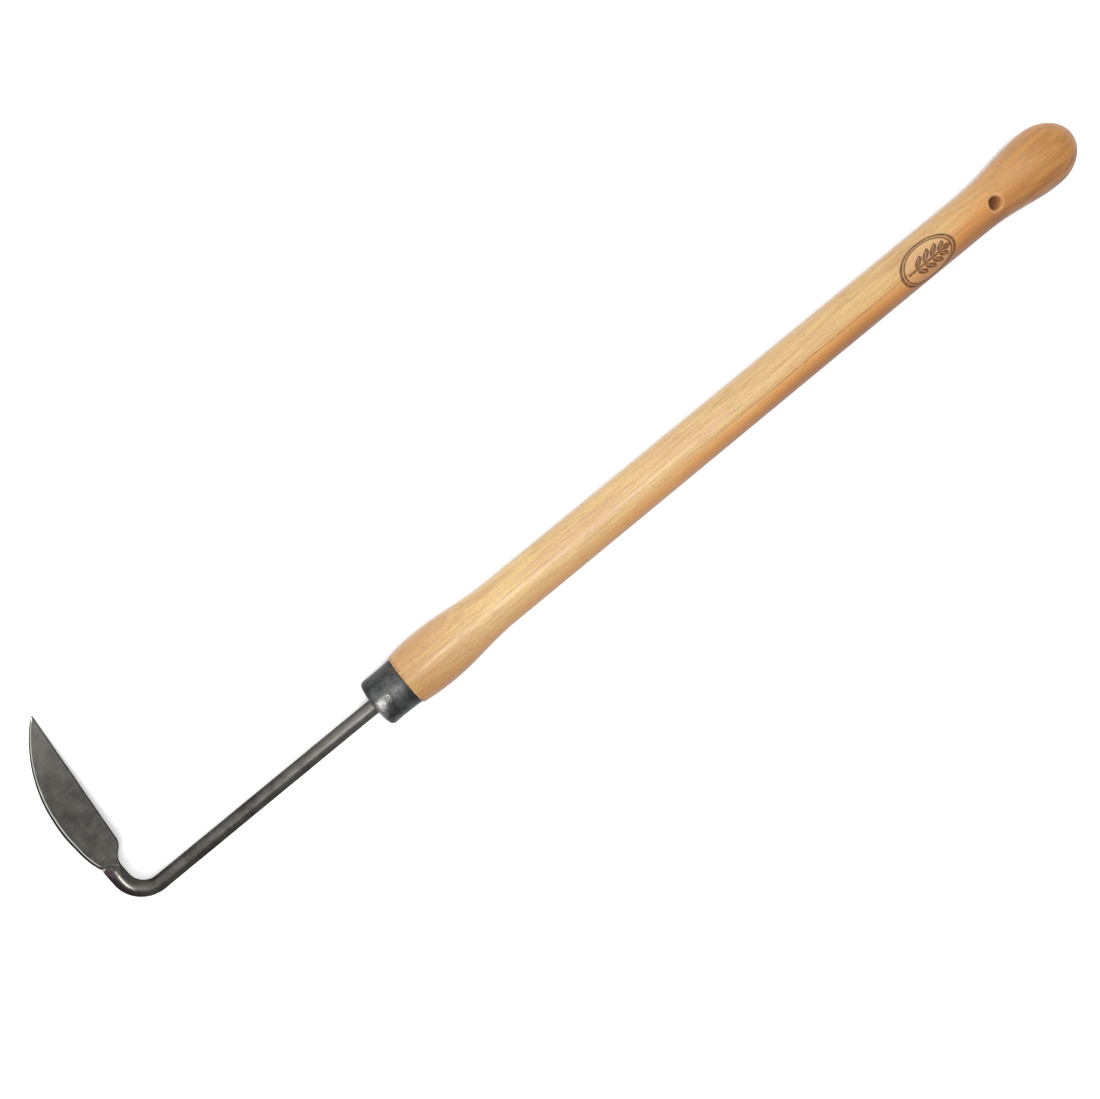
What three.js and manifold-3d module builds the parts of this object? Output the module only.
// A long-handled draw weeder with a small half-moon blade: one forged steel head, a pressed steel
// ferrule, the pin that locks them, and a turned ash handle with a hanging hole.
//
// Millimetres. The tool is drawn along its handle's axis: x runs from the handle's shoulder, where the
// ferrule's back edge sits, towards the knob, and the steel lies on the negative side. The blade bends
// away towards +y and its broad faces look up and down. At the end the tool is laid on the floor.
import * as THREE from "three";
import { mergeVertices } from "three/addons/utils/BufferGeometryUtils.js";
import Module from "manifold-3d";

const wasm = await Module();
wasm.setup();

// ---------------------------------------------------------------- driving dimensions

const FIT_GAP = 0.3; // between pieces that touch

// Handle
const HANDLE_LENGTH = 503.6; // shoulder to the end of the knob
const SHOULDER_DIAMETER = 32.4;
const SHOULDER_ROUND = 0.8;
const SWELL_DIAMETER = 35.2;
const SWELL_AT = 21; // behind the shoulder
const SHAFT_DIAMETER = 28.2; // just behind the swell
const SHAFT_END_DIAMETER = 27.6; // just before the knob
const SHAFT_START = 69; // behind the shoulder
const KNOB_DIAMETER = 38;
const KNOB_DOME = 22.6; // widest ring to the end of the knob
const KNOB_FLARE = 55; // where the shaft starts to widen, before the widest ring
const HOLE_DIAMETER = 8;
const HOLE_LIP = 1; // softened edge of the hanging hole
const HOLE_FROM_END = 67.4;

// Ferrule, a cup pressed from sheet with a hole for the rod
const FERRULE_LENGTH = 22.4;
const FERRULE_FRONT_DIAMETER = 29.8;
const FERRULE_WAIST_DIAMETER = 29.4;
const FERRULE_BACK_DIAMETER = 30.3;
const FERRULE_WALL = 1.5;
const FERRULE_CORNER = 2.6;
const FERRULE_DOME = 1.2; // how far the front face bulges

// Pin through the ferrule, the tenon and the tang
const PIN_DIAMETER = 3;
const PIN_LENGTH = 25;
const PIN_FROM_FERRULE_BACK = 12.3;
const PIN_ROLL = THREE.MathUtils.degToRad(12); // from straight up, towards the blade
const PIN_DIMPLE = 1.3; // diameter of the punch mark in its head
const PIN_DIMPLE_DEPTH = 0.6;

// Forged head
const ROD_DIAMETER = 9;
const TANG_LENGTH = 72; // beyond the handle's shoulder
const TANG_TIP_DIAMETER = 6.5;
const REACH = 190; // shoulder to the neck's centre line
const BEND_RADIUS = 15; // of the rod's centre line
const NECK_WIDTH = 9.7;
const BLADE_THICKNESS = 2.6;
const BLADE_REACH = 115.5; // from the rod's axis to the blade's tip
const TIP_WIDTH = 1.6; // the tip is blunt
const TIP_OFFSET = 21.2; // from the neck's centre line, towards the handle
const NOTCH_AT = 27.8; // where the neck steps out to the heel, from the rod's axis
const HEEL_AT = 36; // where the straight edge starts
const HEEL_OFFSET = 12.8; // of the straight edge there, from the neck's centre line
const SPREAD_FROM = 25.5; // where the neck's outer side steps out, from the rod's axis
const BELLY_AT = 45; // where the curved edge starts
const BELLY_OFFSET = 8.5; // from the neck's centre line, away from the handle
const BELLY_RADIUS = 88;
const BEVEL_WIDTH = 2.4; // sharpened, on the curved edge, where the belly starts
const TIP_BEVEL_WIDTH = 1; // the bevel narrows towards the tip
const EDGE_THICKNESS = 0.4;
const FLATTEN_FROM = 20; // where the hammered slopes start, from the rod's axis
const FLAT_AT = 30; // where the slopes have run out into the blade's faces

// Facets
const HANDLE_SIDES = 32;
const FERRULE_SIDES = 36;
const HOLE_SIDES = 20;
const HEAD_SIDES = 24; // a multiple of four

// ---------------------------------------------------------------- sizes that follow

const ferruleBack = -FIT_GAP;
const ferruleFront = ferruleBack - FERRULE_LENGTH;
const ferruleBore = FERRULE_WAIST_DIAMETER / 2 - FERRULE_WALL;
const tenonRadius = ferruleBore - FIT_GAP;
const tenonLength = FERRULE_LENGTH - FERRULE_DOME - FERRULE_WALL;
const rodRadius = ROD_DIAMETER / 2;
const knobAt = HANDLE_LENGTH - KNOB_DOME;
const holeAt = HANDLE_LENGTH - HOLE_FROM_END;
const pinAt = ferruleBack - PIN_FROM_FERRULE_BACK;
const bladeHalf = BLADE_THICKNESS / 2;

// The tool lies on its knob and on the blade's tip, so the head is rolled by this much.
const restRoll = Math.asin((KNOB_DIAMETER / 2 - bladeHalf) / BLADE_REACH);

// ---------------------------------------------------------------- helpers

function solidOf(geometry) {
  const bare = geometry.clone();
  bare.deleteAttribute("normal");
  bare.deleteAttribute("uv");
  const merged = mergeVertices(bare, 1e-4);
  return new wasm.Manifold(
    new wasm.Mesh({
      numProp: 3,
      vertProperties: merged.attributes.position.array,
      triVerts: new Uint32Array(merged.index.array),
    }),
  );
}

function geometryOf(solid) {
  const mesh = solid.getMesh();
  const geometry = new THREE.BufferGeometry();
  geometry.setAttribute("position", new THREE.BufferAttribute(mesh.vertProperties, 3));
  geometry.setIndex(new THREE.BufferAttribute(mesh.triVerts, 1));
  const flat = geometry.toNonIndexed();
  flat.computeVertexNormals();
  return flat;
}

// A profile of (radius, x) points turned about the tool's axis.
function turned(profile, sides) {
  return new THREE.LatheGeometry(profile, sides).rotateZ(-Math.PI / 2);
}

// A round bar or cutter along z, from one height to another.
function upright(radiusLow, radiusHigh, low, high, sides) {
  const bar = new THREE.CylinderGeometry(radiusHigh, radiusLow, high - low, sides);
  return bar.rotateX(Math.PI / 2).translate(0, 0, (low + high) / 2);
}

function at(radius, x) {
  return new THREE.Vector2(radius, x);
}

function named(name, geometry, material) {
  const mesh = new THREE.Mesh(geometry, material);
  mesh.name = name;
  return mesh;
}

// ---------------------------------------------------------------- handle

function ash() {
  return new THREE.MeshStandardMaterial({ color: 0xcf9a63, roughness: 0.45, metalness: 0 });
}

// The turned outside, from the shoulder to the end of the knob, as (radius, x) points.
function handleOutside() {
  const shoulder = SHOULDER_DIAMETER / 2;
  const swell = SWELL_DIAMETER / 2;
  const shaft = SHAFT_DIAMETER / 2;
  const shaftEnd = SHAFT_END_DIAMETER / 2;
  const knob = KNOB_DIAMETER / 2;
  const flareStart = knobAt - KNOB_FLARE;
  const edge = new THREE.QuadraticBezierCurve(
    at(shoulder - SHOULDER_ROUND, 0),
    at(shoulder, 0),
    at(shoulder, SHOULDER_ROUND),
  );
  const rise = new THREE.QuadraticBezierCurve(
    at(shoulder, SHOULDER_ROUND),
    at(swell, SWELL_AT * 0.5),
    at(swell, SWELL_AT),
  );
  const fallReach = (SHAFT_START - SWELL_AT) * 0.38;
  const fall = new THREE.CubicBezierCurve(
    at(swell, SWELL_AT),
    at(swell, SWELL_AT + fallReach),
    at(shaft, SHAFT_START - fallReach),
    at(shaft, SHAFT_START),
  );
  const flare = new THREE.CubicBezierCurve(
    at(shaftEnd, flareStart),
    at(shaftEnd, flareStart + KNOB_FLARE * 0.5),
    at(knob, knobAt - KNOB_FLARE * 0.33),
    at(knob, knobAt),
  );
  const dome = new THREE.EllipseCurve(0, knobAt, knob, KNOB_DOME, 0, Math.PI / 2);
  return [
    ...edge.getPoints(3),
    ...rise.getPoints(4).slice(1),
    ...fall.getPoints(10).slice(1),
    ...flare.getPoints(10),
    ...dome.getPoints(10).slice(1, -1),
    at(0, HANDLE_LENGTH),
  ];
}

function handleBlank() {
  const profile = [
    at(0, -tenonLength),
    at(tenonRadius - FERRULE_CORNER, -tenonLength),
    at(tenonRadius, FERRULE_CORNER - tenonLength),
    at(tenonRadius, 0),
    ...handleOutside(),
  ];
  return solidOf(turned(profile, HANDLE_SIDES));
}

// The bore for the tang, a loose match to its taper.
function tangBore() {
  const mouth = -tenonLength - FIT_GAP;
  const end = TANG_LENGTH + FIT_GAP;
  const profile = [
    at(0, mouth),
    at(rodRadius + FIT_GAP, mouth),
    at(rodRadius + FIT_GAP, 0),
    at(TANG_TIP_DIAMETER / 2 + FIT_GAP, end),
    at(0, end),
  ];
  return solidOf(turned(profile, HOLE_SIDES));
}

// The hanging hole with its softened lips, straight down through the handle.
function hangingHole() {
  const bore = HOLE_DIAMETER / 2;
  const past = KNOB_DIAMETER / 2;
  const skin = handleRadiusAt(holeAt);
  const through = solidOf(upright(bore, bore, -past, past, HOLE_SIDES));
  const wide = bore + HOLE_LIP + past - skin;
  const top = solidOf(upright(bore, wide, skin - HOLE_LIP, past, HOLE_SIDES));
  const bottom = solidOf(upright(wide, bore, -past, HOLE_LIP - skin, HOLE_SIDES));
  return through.add(top).add(bottom).translate([holeAt, 0, 0]);
}

function handleRadiusAt(x) {
  const points = handleOutside();
  const next = points.findIndex((point) => point.y > x);
  const [before, after] = [points[next - 1], points[next]];
  return THREE.MathUtils.mapLinear(x, before.y, after.y, before.x, after.x);
}

function handle() {
  const solid = handleBlank().subtract(tangBore()).subtract(hangingHole()).subtract(pinHole());
  return named("handle", geometryOf(solid), ash());
}

// ---------------------------------------------------------------- ferrule

function darkSteel() {
  return new THREE.MeshStandardMaterial({ color: 0x4a4b4d, roughness: 0.5, metalness: 0.9 });
}

// The cup's wall as a closed ring of (radius, x) points, its front face slightly domed.
function ferruleProfile() {
  const hole = rodRadius + FIT_GAP;
  const front = FERRULE_FRONT_DIAMETER / 2;
  const cornerAt = ferruleFront + FERRULE_DOME;
  const inside = cornerAt + FERRULE_WALL - FIT_GAP;
  const face = new THREE.QuadraticBezierCurve(
    at(hole, ferruleFront),
    at((front + hole) / 2, ferruleFront),
    at(front - FERRULE_CORNER, cornerAt - FERRULE_DOME * 0.25),
  );
  const corner = new THREE.QuadraticBezierCurve(
    at(front - FERRULE_CORNER, cornerAt - FERRULE_DOME * 0.25),
    at(front, cornerAt),
    at(front, cornerAt + FERRULE_CORNER),
  );
  const side = new THREE.QuadraticBezierCurve(
    at(front, cornerAt + FERRULE_CORNER),
    at(FERRULE_WAIST_DIAMETER / 2 - 0.2, ferruleBack - FERRULE_LENGTH * 0.55),
    at(FERRULE_BACK_DIAMETER / 2, ferruleBack),
  );
  return [
    at(hole, inside),
    ...face.getPoints(4),
    ...corner.getPoints(5).slice(1),
    ...side.getPoints(5).slice(1),
    at(ferruleBore, ferruleBack),
    at(ferruleBore, inside + FERRULE_WALL),
    at(ferruleBore - FERRULE_WALL, inside),
    at(hole, inside),
  ];
}

function ferrule() {
  const cup = solidOf(turned(ferruleProfile(), FERRULE_SIDES));
  return named("ferrule", geometryOf(cup.subtract(pinHole())), darkSteel());
}

// ---------------------------------------------------------------- pin

function brightSteel() {
  return new THREE.MeshStandardMaterial({ color: 0x9a9894, roughness: 0.35, metalness: 0.95 });
}

// Places something that stands along z on the pin's own radial line.
function onPinAxis(geometry) {
  return geometry.rotateX(-PIN_ROLL).translate(pinAt, 0, 0);
}

const pinTop = FERRULE_WAIST_DIAMETER / 2 + 0.1;

// From above the ferrule down to just past the pin's point, so the lower wall stays whole.
function pinHole() {
  const radius = PIN_DIAMETER / 2 + FIT_GAP;
  const low = pinTop - PIN_LENGTH - FIT_GAP;
  return solidOf(onPinAxis(upright(radius, radius, low, pinTop + PIN_DIAMETER, HOLE_SIDES)));
}

function ferrulePin() {
  const radius = PIN_DIAMETER / 2;
  const foot = pinTop - PIN_LENGTH;
  const shank = upright(radius, radius, foot + radius, pinTop, HOLE_SIDES);
  const point = upright(radius * 0.3, radius, foot, foot + radius, HOLE_SIDES);
  const dimpleWide = PIN_DIMPLE * 1.5;
  const dimple = upright(0.1, dimpleWide / 2, pinTop - PIN_DIMPLE_DEPTH, pinTop + FIT_GAP, HOLE_SIDES);
  const solid = solidOf(onPinAxis(shank)).add(solidOf(onPinAxis(point)));
  return named("ferrule_pin", geometryOf(solid.subtract(solidOf(onPinAxis(dimple)))), brightSteel());
}

// ---------------------------------------------------------------- forged head

function forgedSteel() {
  return new THREE.MeshStandardMaterial({ color: 0x5b5953, roughness: 0.45, metalness: 0.9 });
}

// The blade's edges, as distances from the neck's centre line at a height y from the rod's axis.
// The inner edge steps out from the neck to a rounded heel and then runs straight to the tip.
function innerEdge(y) {
  const tip = TIP_OFFSET + TIP_WIDTH / 2;
  if (y >= HEEL_AT) return THREE.MathUtils.mapLinear(y, HEEL_AT, BLADE_REACH, HEEL_OFFSET, tip);
  const neck = NECK_WIDTH / 2;
  const notch = neck + (HEEL_OFFSET - neck) * 0.42;
  const notchRise = HEEL_AT - NOTCH_AT;
  if (y >= NOTCH_AT) {
    const round = (HEEL_AT - y) / notchRise;
    return HEEL_OFFSET - (HEEL_OFFSET - notch) * round ** 2.2;
  }
  return neck + (notch - neck) * Math.max(0, 1 - (NOTCH_AT - y) / notchRise) ** 2.6;
}

// The outer edge steps out from the neck, quickly at first, and then follows one arc to the tip.
function outerEdge(y) {
  const tip = new THREE.Vector2(TIP_OFFSET - TIP_WIDTH / 2, BLADE_REACH);
  const belly = new THREE.Vector2(-BELLY_OFFSET, BELLY_AT);
  const chord = tip.clone().sub(belly);
  const inward = new THREE.Vector2(chord.y, -chord.x).normalize();
  const sink = Math.sqrt(BELLY_RADIUS ** 2 - chord.lengthSq() / 4);
  const centre = tip.clone().add(belly).multiplyScalar(0.5).addScaledVector(inward, sink);
  if (y >= BELLY_AT) return centre.x - Math.sqrt(BELLY_RADIUS ** 2 - (y - centre.y) ** 2);
  const neck = -NECK_WIDTH / 2;
  const left = THREE.MathUtils.clamp((BELLY_AT - y) / (BELLY_AT - SPREAD_FROM), 0, 1);
  return neck + (belly.x - neck) * (1 - left ** 2.6);
}

// The hammered slopes close in on the neck from above and below, steep at first, until it is as
// thin as the blade.
function halfThickness(y) {
  const left = THREE.MathUtils.clamp((FLAT_AT - y) / (FLAT_AT - FLATTEN_FROM), 0, 1);
  return THREE.MathUtils.lerp(bladeHalf, NECK_WIDTH / 2, left ** 2);
}

// The bevel narrows along the curved edge.
function bevelWidth(y) {
  const along = THREE.MathUtils.smoothstep(y, BELLY_AT, BLADE_REACH);
  return THREE.MathUtils.lerp(BEVEL_WIDTH, TIP_BEVEL_WIDTH, along);
}

// One corner of the blade's section as (distance from the outer edge, height). The numbers of the
// corners run from the outer edge over the top face to the inner edge and back underneath.
function bladeCorner(number, y, width) {
  const half = HEAD_SIDES / 2;
  const over = number <= half ? number : HEAD_SIDES - number;
  const bevel = Math.min(bevelWidth(y), width * 0.45);
  const ease = Math.min(0.5, width * 0.2);
  const top = number <= half;
  if (over === 0) return [0, EDGE_THICKNESS / 2 - bladeHalf];
  if (over === half) return [width, 0];
  if (over === 1) return [0, top ? EDGE_THICKNESS - bladeHalf : -bladeHalf];
  if (over === half - 1) return [width, (top ? 1 : -1) * (bladeHalf - ease)];
  const share = (over - 2) / (half - 4);
  const across = THREE.MathUtils.lerp(bevel, width - ease, share);
  return [across, top ? bladeHalf : -bladeHalf];
}

// The angle of a corner on the round bar, from the inner side of the bend over the top.
function cornerTurn(number) {
  return Math.PI - (number / HEAD_SIDES) * 2 * Math.PI;
}

// The same corner on the neck, its top and bottom pressed flat where the slopes cut it.
function neckCorner(number, y, width) {
  const turn = cornerTurn(number);
  const half = halfThickness(y);
  const height = THREE.MathUtils.clamp((NECK_WIDTH / 2) * Math.sin(turn), -half, half);
  return [(width / 2) * (1 + Math.cos(turn)), height];
}

// One ring of the forging: the bar's round section along the rod and the bend.
function barRing(place, radius, out) {
  return (number) => {
    const turn = cornerTurn(number);
    const point = place.clone().addScaledVector(out, -radius * Math.cos(turn));
    return point.setZ(radius * Math.sin(turn));
  };
}

// One ring of the neck or the blade, at a height y from the rod's axis.
function bladeRing(y) {
  const outer = outerEdge(y);
  const width = innerEdge(y) - outer;
  const spread = THREE.MathUtils.smoothstep(y, NOTCH_AT - 6, HEEL_AT);
  return (number) => {
    const neck = neckCorner(number, y, width);
    const blade = bladeCorner(number, y, width);
    const across = THREE.MathUtils.lerp(neck[0], blade[0], spread);
    const height = THREE.MathUtils.lerp(neck[1], blade[1], spread);
    return new THREE.Vector3(outer + across - REACH, y, height);
  };
}

// Every ring of the forging, from the tang's end to the blade's tip.
function forgingRings() {
  const rings = [];
  const down = new THREE.Vector3(0, -1, 0);
  const bendStart = BEND_RADIUS - REACH;
  const tangEase = 1;
  const rod = [
    [TANG_LENGTH, TANG_TIP_DIAMETER / 2 - tangEase],
    [TANG_LENGTH - tangEase, TANG_TIP_DIAMETER / 2],
    [0, rodRadius],
    [ferruleFront, rodRadius],
    [bendStart, rodRadius],
  ];
  for (const [x, radius] of rod) rings.push(barRing(new THREE.Vector3(x, 0, 0), radius, down));
  const bendSteps = 9;
  for (let step = 1; step <= bendSteps; step++) {
    const turn = (step / bendSteps) * (Math.PI / 2);
    const out = new THREE.Vector3(-Math.sin(turn), -Math.cos(turn), 0);
    const place = new THREE.Vector3(bendStart, BEND_RADIUS, 0).addScaledVector(out, BEND_RADIUS);
    const radius = THREE.MathUtils.lerp(rodRadius, NECK_WIDTH / 2, step / bendSteps);
    rings.push(barRing(place, radius, out));
  }
  const neckSteps = 14;
  for (let step = 1; step <= neckSteps; step++) {
    rings.push(bladeRing(THREE.MathUtils.lerp(BEND_RADIUS, HEEL_AT, step / neckSteps)));
  }
  const bladeSteps = 16;
  for (let step = 1; step <= bladeSteps; step++) {
    rings.push(bladeRing(THREE.MathUtils.lerp(HEEL_AT, BLADE_REACH, step / bladeSteps)));
  }
  return rings;
}

// A straight cylinder with one row of corners for each ring, drawn out to the forging's shape.
function forging() {
  const rings = forgingRings();
  const last = rings.length - 1;
  const bar = new THREE.CylinderGeometry(1, 1, 1, HEAD_SIDES, last);
  const corners = bar.attributes.position;
  for (let i = 0; i < corners.count; i++) {
    const ring = rings[Math.round((0.5 - corners.getY(i)) * last)];
    const turn = Math.atan2(corners.getZ(i), corners.getX(i)) / (2 * Math.PI);
    const number = Math.round((turn + 1) * HEAD_SIDES) % HEAD_SIDES;
    const onAxis = Math.hypot(corners.getX(i), corners.getZ(i)) < 0.5;
    const point = onAxis ? ring(0).lerp(ring(HEAD_SIDES / 2), 0.5) : ring(number);
    corners.setXYZ(i, point.x, point.y, point.z);
  }
  return bar;
}

function forgedHead() {
  const bar = solidOf(forging().rotateX(-restRoll));
  return named("forged_head", geometryOf(bar.subtract(pinHole())), forgedSteel());
}

// ---------------------------------------------------------------- assembly

// The frame: +X towards the knob, the blade towards +Y, and the floor under the tool at z = 0.
const tool = new THREE.Group();
tool.add(handle(), ferrule(), ferrulePin(), forgedHead());
const size = new THREE.Box3().setFromObject(tool);
const middle = size.getCenter(new THREE.Vector3());
tool.position.set(-middle.x, -middle.y, -size.min.z);

export default new THREE.Group().add(tool);
